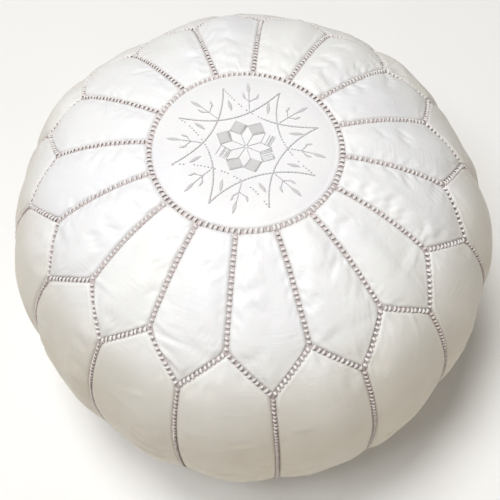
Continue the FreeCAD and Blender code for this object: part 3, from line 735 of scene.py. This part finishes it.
def seam_steps(turn, s, pitch):
    """Points one pitch apart along a seam through (turn, s): turns, lengths and directions."""
    run = travel(surface(turn, s))
    count = max(2, int(round(run[-1] / pitch)))
    at = (np.arange(count) + 0.5) * run[-1] / count
    turns, lengths = np.interp(at, run, turn), np.interp(at, run, s)
    ahead = surface(np.interp(at + 0.5, run, turn), np.interp(at + 0.5, run, s))
    behind = surface(np.interp(at - 0.5, run, turn), np.interp(at - 0.5, run, s))
    return turns, lengths, unit(ahead - behind)


def lengthened(turn, s, extra):
    """A path that goes on straight for an extra length past both its ends, unless it is a whole ring."""
    if abs(turn[-1] - turn[0]) > 6:
        return turn, s
    run = np.linalg.norm(np.diff(surface(turn, s), axis=0), axis=1)
    ends = [(v[0] + (v[0] - v[1]) / run[0] * extra, v[-1] + (v[-1] - v[-2]) / run[-1] * extra)
            for v in (turn, s)]
    return [np.concatenate([[end[0]], v, [end[1]]]) for end, v in zip(ends, (turn, s))]


# The strip under a seam, point by point across it: offsets from its middle and heights over the outline.
BED_OFFSETS = np.array([-3.3, -2.6, -1.3, 0.0, 1.3, 2.6, 3.3])
BED_HEIGHTS = SINK + np.array([-2.4, -1.2, -0.75, -0.55, -0.75, -1.2, -2.4])
LACE_WIDTH, LACE_HEIGHT, LACE_ARCH = 1.25, 0.85, 1.75  # a stitch's half width, half height and arch
LACE_FOOT = SINK - 0.45  # the height of a stitch's ends
# How far from the seams at its top and foot the stitching of a petal's side and of a side panel's stops.
PETAL_GAPS, SIDE_GAPS = (3.4, 1.2), (1.5, 3.8)


def lace(name, paths, node, length=2.15, slant=0.16, seed=1, thread=LACE):
    """Stitches over seams given as paths of (turns, lengths), and the strips of leather under them."""
    rng = np.random.default_rng(seed)
    centres, ways, outs, beds, bed_quads = [], [], [], [], []
    for turn, s in paths:
        turns, lengths, forward = seam_steps(turn, s, LACE_PITCH)
        out = normal(turns, lengths)
        across = unit(np.cross(out, forward))
        lean = slant + rng.normal(0, 0.07, len(turns))
        ways.append(unit(across + forward * lean[:, None]))
        outs.append(out)
        jitter = forward * rng.normal(0, 0.28, len(turns))[:, None]
        jitter = jitter + across * rng.normal(0, 0.16, len(turns))[:, None]
        centres.append(surface(turns, lengths, LACE_FOOT) + jitter)
        fine_turn, fine_s = resample(*lengthened(turn, s, BED_OVERRUN), 2.0)
        middle, up = surface(fine_turn, fine_s), normal(fine_turn, fine_s)
        ahead = unit(np.gradient(middle, axis=0))
        sideways = np.cross(up, ahead)
        strip = middle[:, None] + sideways[:, None] * BED_OFFSETS[None, :, None]
        strip = strip + up[:, None] * BED_HEIGHTS[None, :, None]
        cols = len(BED_OFFSETS)
        outward = np.repeat(up, cols, axis=0)
        strip, strip_quads = shell(strip.reshape(-1, 3), outward, BED_THICKNESS, len(middle), cols)
        bed_quads.append(strip_quads[:, ::-1] + sum(len(b) for b in beds))
        beds.append(strip)
    n = sum(len(c) for c in centres)
    spread = rng.normal(1, 0.06, n)
    threads(name, np.concatenate(centres), np.concatenate(ways), np.concatenate(outs), length * spread,
            LACE_WIDTH * rng.normal(1, 0.08, n), LACE_HEIGHT, LACE_ARCH * rng.normal(1, 0.07, n), thread,
            "seam_thread", [node], seed)
    build(name + "_bed", np.concatenate(beds), np.concatenate(bed_quads), SEAM_BED, slot="leather")


def resample(turn, s, step):
    """The same path with its points about a step apart."""
    run = travel(surface(turn, s))
    at = np.linspace(0, run[-1], max(3, int(run[-1] / step)))
    return np.interp(at, run, turn), np.interp(at, run, s)


def make_seams():
    ring = np.linspace(0, 2 * math.pi, 721)
    lace("medallion_lacing", [(ring, np.full_like(ring, S_MEDALLION))], "medallion_stitching",
         length=2.5, seed=11)
    lace("base_lacing", [(ring, np.full_like(ring, S_BASE))], "base_stitching", seed=12)
    down = np.linspace(0, 1, 200)
    petal_run = S_MEDALLION + PETAL_GAPS[0] + (S_VALLEY - S_MEDALLION - sum(PETAL_GAPS)) * down
    side_run = S_TIP + SIDE_GAPS[0] + (S_BASE - S_TIP - sum(SIDE_GAPS)) * down
    petal_paths, zig_paths, side_paths = [], [], []
    for k in range(PANELS):
        valley = k * 2 * HALF
        petal_paths.append((np.full_like(down, valley), petal_run))
        side_paths.append((np.full_like(down, valley + HALF), side_run))
        for sign in (1, -1):
            turn = valley + sign * HALF * (0.02 + 0.96 * down)
            zig_paths.append((turn, zig_length(turn)))
    lace("petal_lacing", petal_paths, "petal_stitching", length=2.0, seed=13)
    lace("zigzag_lacing", zig_paths, "zigzag_stitching", length=2.35, slant=0.3, seed=14)
    lace("side_lacing", side_paths, "side_stitching", length=1.9, slant=0.4, seed=15, thread=SIDE_LACE)


# ---- Embroidery ----
EMBROIDERY_LIFT, EMBROIDERY_ARCH = 0.22, 0.3  # a stitch's ends over the leather, its middle over its ends
# The star's lines that are worn, by number, each from one share of its length to another.
WORN_LINES = {0: (0.5, 1.0), 3: (0.0, 0.45), 4: (0.0, 1.0), 7: (0.0, 0.5)}
# Diamonds sewn in the paler silk, a painted sheen, with some of their stitches lost.
PALE_SHEEN_DIAMONDS = {22.5: 0.75, 202.5: 0.75, 337.5: 0.3}  # share of stitches lost, by direction
# A diamond's inner, outer, left and right corners: share of the medallion's radius, and degrees aside.
DIAMOND_CORNERS = ((0.158, 0), (0.342, 0), (0.267, -20.6), (0.267, 20.6))


def on_medallion(xy):
    """(turns, lengths) of points in the plan."""
    return np.arctan2(xy[..., 0], -xy[..., 1]), top_length(np.linalg.norm(xy, axis=-1))


def sew(name, starts, ends, width, material, nodes, seed):
    """Straight stitches in the medallion from starts to ends, points in the plan."""
    starts, ends = np.asarray(starts, float), np.asarray(ends, float)
    middle = (starts + ends) / 2
    turns, lengths = on_medallion(middle)
    out = normal(turns, lengths)
    foot = [surface(t, s, medallion_height(t, s)) for t, s in (on_medallion(starts), on_medallion(ends))]
    way = unit(foot[1] - foot[0])
    centre = surface(turns, lengths, medallion_height(turns, lengths) + EMBROIDERY_LIFT)
    half = np.linalg.norm(foot[1] - foot[0], axis=1) / 2
    threads(name, centre, way, out, half, width / 2, width * 0.36, EMBROIDERY_ARCH, material,
            "embroidery_thread", nodes, seed, rings=5, sides=6, power=3.0)


def plan(share, degrees):
    """The point of the plan at a share of the medallion's radius, in a direction from +X."""
    a = np.radians(degrees)
    return MEDALLION_RADIUS * np.stack([share * np.cos(a), share * np.sin(a)], -1)


def run_stitches(points, rng, pitch=3.1, gap=0.06, worn=()):
    """Stitches along a line of points in the plan, short and broken in the worn stretch: (starts, ends)."""
    run = travel(points)
    count = max(1, int(round(run[-1] / pitch)))
    edges = np.linspace(0, run[-1], count + 1)
    starts, ends = [], []
    for a, b in zip(edges, edges[1:]):
        is_worn = worn and worn[0] <= a / run[-1] <= worn[1]
        if is_worn and rng.uniform() < 0.2:
            continue
        trim = (b - a) * (0.5 if is_worn else gap) / 2
        pair = [[np.interp(v, run, points[:, k]) for k in (0, 1)] for v in (a + trim, b - trim)]
        starts.append(pair[0])
        ends.append(pair[1])
    return starts, ends


def leaf_stitches(inner, outer, width, pitch=0.62):
    """Satin stitches across a pointed leaf."""
    length = np.linalg.norm(outer - inner)
    way = (outer - inner) / length
    side = np.array([-way[1], way[0]])
    starts, ends = [], []
    for share in np.arange(pitch / 2, length, pitch) / length:
        half = max(width / 2 * math.sin(math.pi * share) ** 0.8, 0.22)
        middle = inner + (outer - inner) * share
        starts.append(middle - side * half - way * half * 0.5)
        ends.append(middle + side * half + way * half * 0.5)
    return starts, ends


def embroider():
    rng = np.random.default_rng(21)
    tips = 22.5 + 45.0 * np.arange(8)
    starts, ends = [], []

    def add(pair):
        starts.extend(pair[0])
        ends.extend(pair[1])

    def flush(name, width, material, nodes, seed):
        sew(name, starts, ends, width, material, nodes, seed)
        starts.clear()
        ends.clear()

    for k, tip in enumerate(tips):
        t = np.linspace(0, 1, 60)[:, None]
        a, c = plan(0.79, tip), plan(0.79, tip + 90)
        b = plan(0.215 + 0.02 * rng.uniform(-1, 1), tip + 45)
        curve = (1 - t) ** 2 * a + 2 * t * (1 - t) * b + t**2 * c
        add(run_stitches(curve, rng, worn=WORN_LINES.get(k, ())))
    flush("star_outline", 1.45, SILK, ["embroidered_star"], 31)
    for tip in tips:
        turn_aside = rng.uniform(-4, 4)
        add(leaf_stitches(plan(0.475, tip - turn_aside / 2), plan(0.61, tip + turn_aside), 3.0))
    flush("star_leaves", 0.78, SILK, ["embroidered_leaves"], 32)
    for middle in 45.0 * np.arange(8):
        bend = rng.uniform(-3, 3)
        add(run_stitches(np.array([plan(0.46, middle), plan(0.69, middle + bend)]), rng, pitch=2.4))
        add(leaf_stitches(plan(0.68, middle + bend), plan(0.825, middle + bend * 1.6), 3.0))
        for sign in (-1, 1):
            twig = np.array([plan(0.57, middle + bend / 2), plan(0.645, middle + sign * 7.5)])
            add(run_stitches(twig, rng, 2.6))
            add(leaf_stitches(plan(0.61, middle + sign * 6.0), plan(0.685, middle + sign * 7.0), 1.9))
    flush("sprigs", 0.9, SILK, ["embroidered_sprigs"], 33)
    for shade in (True, False):
        for tip in tips:
            if (tip in PALE_SHEEN_DIAMONDS) == shade:
                continue
            inner, outer, left, right = (plan(share, tip + aside) for share, aside in DIAMOND_CORNERS)
            for share in np.linspace(0.02, 0.98, 25):
                if not shade and rng.uniform() < PALE_SHEEN_DIAMONDS[tip]:
                    continue
                starts.append(inner + (left - inner) * share)
                ends.append(right + (outer - right) * share)
        if shade:
            flush("dark_diamonds", 0.78, SILK, ["embroidered_diamonds"], 34)
        else:
            flush("pale_diamonds", 0.78, SILK_PALE, [], 35)
    for tip in tips:
        hub = plan(0.16, tip)
        add(run_stitches(np.array([plan(0.012, tip), hub]), rng, pitch=2.6))
        for aside in (22.5, -22.5):
            add(run_stitches(np.array([hub, plan(0.267, tip + aside)]), rng, pitch=2.4))
    flush("rosette", 0.8, SILK, ["embroidered_rosette"], 36)


# ---- Base, with its zip lips ----
# Each lip climbs from CHANNEL_HALF to CHANNEL_TOP_HALF away from the zip's line, and ends at LIP_EDGE.
CHANNEL_HALF, CHANNEL_TOP_HALF, LIP_EDGE, LIP_HEIGHT = 20.0, 11.0, 7.0, 7.0


def base_half(name, side, node, seed):
    """Half of the flat base: rows run from the zip's lip out to the round seam."""
    rng = np.random.default_rng(seed)
    rim = BASE_RADIUS - INSET - 0.3
    y = np.concatenate([np.linspace(LIP_EDGE, CHANNEL_HALF + 5, 30),
                        np.linspace(CHANNEL_HALF + 7, rim - 8, 60),
                        rim - 8 * (1 - np.linspace(0, 1, 14)[1:]) ** 1.6])
    y[-1] = rim - 0.02
    u = np.sin(np.linspace(-1, 1, 121) * math.pi / 2)
    x = u[None, :] * np.sqrt(rim**2 - y[:, None] ** 2)
    y = np.broadcast_to(y[:, None], x.shape)
    r = np.hypot(x, y)
    lower = ~UPPER & (LEVEL > 0)
    foot = np.interp(-r, -RADIUS[lower], LEVEL[lower])
    foot = np.where(r < RADIUS[lower].min(), 0.0, foot)
    slope = LIP_HEIGHT * (CHANNEL_HALF - y) / (CHANNEL_HALF - CHANNEL_TOP_HALF)
    slope = np.clip(slope, 0, LIP_HEIGHT)
    soft = np.interp(y, [LIP_EDGE, 9.5, 12.5], [0.0, -0.05, 0.0])
    z = np.maximum(slope + soft, foot)
    waves = 0.25 + 0.25 * np.sin(x * 0.05 + y * 0.03 + seed) * np.sin(y * 0.06 - x * 0.02)
    rest = np.clip((y - CHANNEL_HALF) / 12, 0, 1) * np.clip((150 - r) / 30, 0, 1)
    z = z + waves * rest * 0.5
    rows, cols = x.shape
    points = np.stack([x, y * side, z], -1)
    du, dv = np.gradient(points, axis=1), np.gradient(points, axis=0)
    down = np.cross(du, dv)
    down = unit(down + [0, 0, 1e-9]) * np.sign(-down[..., 2:] - 1e-12)
    down = np.where(np.abs(down[..., 2:]) < 0.05, [0, 0, -1.0], down)
    points, down = points.reshape(-1, 3), down.reshape(-1, 3)
    both, quads = shell(points, down, LEATHER, rows, cols)
    if side > 0:
        quads = quads[:, ::-1]
    chart = np.stack([x, y, z], -1).reshape(-1, 3) + rng.uniform(-300, 300, 3)
    edge = np.minimum(rim + 2.4 - r, y - LIP_EDGE + 3.0)
    leather_piece(name, both, quads, BASE_SKIN, node, chart, edge, 0.6)


# ---- Inside ----
ZIP_ROOM_HALF, ZIP_ROOM_HEIGHT = 30.0, 16.0  # what is left free over the zip


def inner_skin(name, depth, material, slot, node, seed, bumps):
    """A closed lumpy body under the leather, raised over the zip: the cotton liner or the wadding."""
    rng = np.random.default_rng(seed)
    foot = np.flatnonzero(LEVEL < depth)[0]
    s = np.concatenate([[0.5], np.linspace(3, LENGTH[foot], 90)])[:, None]
    turns = np.linspace(0, 2 * math.pi, 161)[None, :-1]
    s, turns = np.broadcast_arrays(s, turns)
    waves = (rng.integers(2, 30, 14), rng.normal(0, 0.05, 14), rng.uniform(0, 6.3, 14),
             rng.uniform(0, bumps, 14))
    lump = sum(a * np.sin(turns * k + s * w + p) for k, w, p, a in zip(*waves))
    side = surface(turns, s, -depth - 2.5 + np.clip(lump, -3, 1.2))
    side[..., 2] = np.maximum(side[..., 2], depth)
    shares = np.linspace(1, 0.01, 40)[1:, None, None]
    floor = side[-1][None] * shares
    for part in (floor, side[-1]):
        over_zip = smooth(ZIP_ROOM_HALF - np.abs(part[..., 1]), 0, 6)
        part[..., 2] = depth + (ZIP_ROOM_HEIGHT + depth / 3 - depth) * over_zip
    points = np.concatenate([side, floor])
    rows, cols = points.shape[:2]
    caps = ring_cap(cols)
    around = grid_faces(rows, cols, closed=True, flip=True)
    quads = np.concatenate([around, caps, caps[:, ::-1] + (rows - 1) * cols])
    obj = build(name, points, quads, material, slot=slot, replaces=[node])


# ---- Zip ----
TAPE_REACH = 9.5  # how far the tapes run on towards the base's round seam at each end
TAPE_BENDS, TAPE_CLOSED = 2, 14  # how far past a stop the tapes start to close in, and have closed in
LIP_STITCH_AT, LIP_STITCH_PITCH = 9.0, 4.6  # how far the stitches are from the zip's line, and apart


def make_tape(name, side, node):
    """A woven tape with a corded edge, longer than its CAD node. It closes in past the stops."""
    low, high = (np.array(v) * 1000 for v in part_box(node))
    edge, outer = (low[1], high[1]) if side > 0 else (high[1], low[1])
    x = np.linspace(low[0] - TAPE_REACH, high[0] + TAPE_REACH, 314)[:, None]
    first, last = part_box("zip_bottom_stop")[0][0] * 1000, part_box("zip_top_stops")[1][0] * 1000
    bends = [first - TAPE_CLOSED, first - TAPE_BENDS, last + TAPE_BENDS, last + TAPE_CLOSED]
    edge = edge * np.interp(x, bends, [0.1, 1, 1, 0.1])
    share = np.array([0, 0.02, 0.05, 0.09, 0.13, 0.3, 0.5, 0.7, 0.88, 0.94, 1.0])[None, :]
    y = edge + (outer - edge) * share
    ribs = 0.05 * np.sin(x * 2.4) * (share > 0.13)
    cord = np.interp(share, [0, 0.02, 0.09, 0.13], [-0.12, 0.0, 0.0, -0.08])
    x, y, up = np.broadcast_arrays(x, y, high[2] - 0.05 + cord + ribs)
    down = np.broadcast_to(low[2] + 0.05 - cord - ribs, x.shape)
    rows, cols = x.shape
    top = np.stack([x, y, up], -1).reshape(-1, 3)
    under = np.stack([x, y, down], -1).reshape(-1, 3)
    _, quads = shell(top, np.zeros_like(top), 0, rows, cols)
    if side > 0:
        quads = quads[:, ::-1]
    build(name, np.concatenate([top, under]), quads, TAPE_CLOTH, slot="zip_tape", replaces=[node])


def make_zip():
    make_tape("tape_back", 1, "zip_tape_back")
    make_tape("tape_front", -1, "zip_tape_front")
    low, high = (np.array(v) * 1000 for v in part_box("zip_tape_stitching"))
    x = np.arange(low[0] + 1.6, high[0] - 1.5, LIP_STITCH_PITCH)
    level = np.full_like(x, high[2] + 0.25)
    both = [np.stack([x, np.full_like(x, side * LIP_STITCH_AT), level], -1) for side in (1, -1)]
    centres = np.concatenate(both)
    along, down = (np.tile([way], (len(centres), 1)) for way in ([1.0, 0.0, 0.0], [0.0, 0.0, -1.0]))
    threads("lip_stitches", centres, along, down, 1.75, 0.42, 0.3, 0.42, LACE, "seam_thread",
            ["zip_tape_stitching"], 41, rings=5, sides=6)
    for node in ("zip_teeth_back", "zip_teeth_front", "zip_top_stops", "zip_bottom_stop", "zip_slider",
                 "zip_slider_crown", "zip_pull"):
        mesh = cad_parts[node].data
        mesh.materials.clear()
        mesh.materials.append(METAL)


# ---- Stage ----
FLOOR_HALF = 6
VIEW_PLACE, VIEW_TURN, VIEW_ROLL = (0.0669, -0.4178, 0.9738), 9.1, -4.3
VIEW_AIM = (-0.00225, 0.1402)  # how far to the camera's right and how high it aims
AMBIENT = 0.2
# Each light's name, place, where it points, size and watts, and its colour.
LIGHTS = (("overhead", (-0.45, 0.25, 2.9), (0, 0, 0.2), 1.0, 49, (1.0, 0.995, 0.985)),
          ("key", (-0.6, -0.55, 2.1), (0, 0, 0.2), 0.7, 14, (0.95, 0.97, 1.0)),
          ("fill", (0.9, -1.2, 0.5), (0.05, -0.05, 0.15), 0.8, 2.2, (1.0, 0.94, 0.84)))


def look(camera, place, aim, roll):
    """Points a camera from place at aim, turned by roll about its line of sight."""
    forward = (aim - place).normalized()
    right = forward.cross(Vector((0, 0, 1))).normalized()
    up = right.cross(forward)
    rolled_right = right * math.cos(roll) + up * math.sin(roll)
    rolled_up = up * math.cos(roll) - right * math.sin(roll)
    turn = Matrix((rolled_right, rolled_up, -forward)).transposed()
    camera.matrix_world = Matrix.Translation(place) @ turn.to_4x4()


def area_light(name, place, aim, size, watts, colour):
    lamp = bpy.data.lights.new(name, "AREA")
    lamp.shape, lamp.size, lamp.energy, lamp.color = "DISK", size, watts, colour
    obj = add_object(name, lamp)
    obj.location = place
    obj.rotation_mode = "QUATERNION"
    obj.rotation_quaternion = (Vector(aim) - Vector(place)).to_track_quat("-Z", "Y")


def make_stage():
    scene = bpy.context.scene
    mesh = bpy.data.meshes.new("floor")
    corners = [(x * FLOOR_HALF, y * FLOOR_HALF, 0) for x, y in ((-1, -1), (1, -1), (1, 1), (-1, 1))]
    mesh.from_pydata(corners, [], [(0, 1, 2, 3)])
    floor = add_object("floor", mesh)
    m = Shader("pale_floor")
    place = m.place()
    patches = m.ramp(m.noise(place, 3.0, 2.0), 0.3, 0.7)
    shade = m.mix(patches, (0.95, 0.945, 0.935, 1), (0.93, 0.925, 0.915, 1))
    m.set(Base_Color=shade, Roughness=0.9)
    mesh.materials.append(m.material)
    camera = add_object("camera", bpy.data.cameras.new("camera"))
    camera.data.lens, camera.data.sensor_width = 60.1, 36.0
    camera.data.clip_start, camera.data.clip_end = 0.01, 50
    side = math.radians(VIEW_TURN)
    right = Vector((math.cos(side), math.sin(side), 0))
    aim = right * VIEW_AIM[0] + Vector((0, 0, VIEW_AIM[1]))
    look(camera, Vector(VIEW_PLACE), aim, math.radians(VIEW_ROLL))
    scene.camera = camera
    for light in LIGHTS:
        area_light(*light)
    world = bpy.data.worlds.new("studio")
    world.use_nodes = True
    background = world.node_tree.nodes["Background"]
    background.inputs[0].default_value = (1.0, 0.94, 0.86, 1)
    background.inputs[1].default_value = AMBIENT
    scene.world = world
    scene.view_settings.view_transform = "Standard"
    scene.view_settings.look = "None"


def main():
    for k in range(PANELS):
        rng = np.random.default_rng(100 + k)
        tip = (2 * k + 1) * HALF
        panel(f"petal_{k + 1:02d}_skin", tip, True, rng, f"petal_{k + 1:02d}", 0.8)
        panel(f"side_{k + 1:02d}_skin", 2 * k * HALF, False, rng, f"side_panel_{k + 1:02d}", 0.7)
    medallion()
    make_seams()
    embroider()
    base_half("base_back_skin", 1, "base_panel_back", 3)
    base_half("base_front_skin", -1, "base_panel_front", 4)
    inner_skin("liner_bag", 7.0, LINER_CLOTH, "liner_cotton", "cotton_liner", 51, 0.4)
    inner_skin("wadding_body", 10.0, WADDING, "wadding", "filling", 52, 0.9)
    make_zip()
    make_stage()


main()
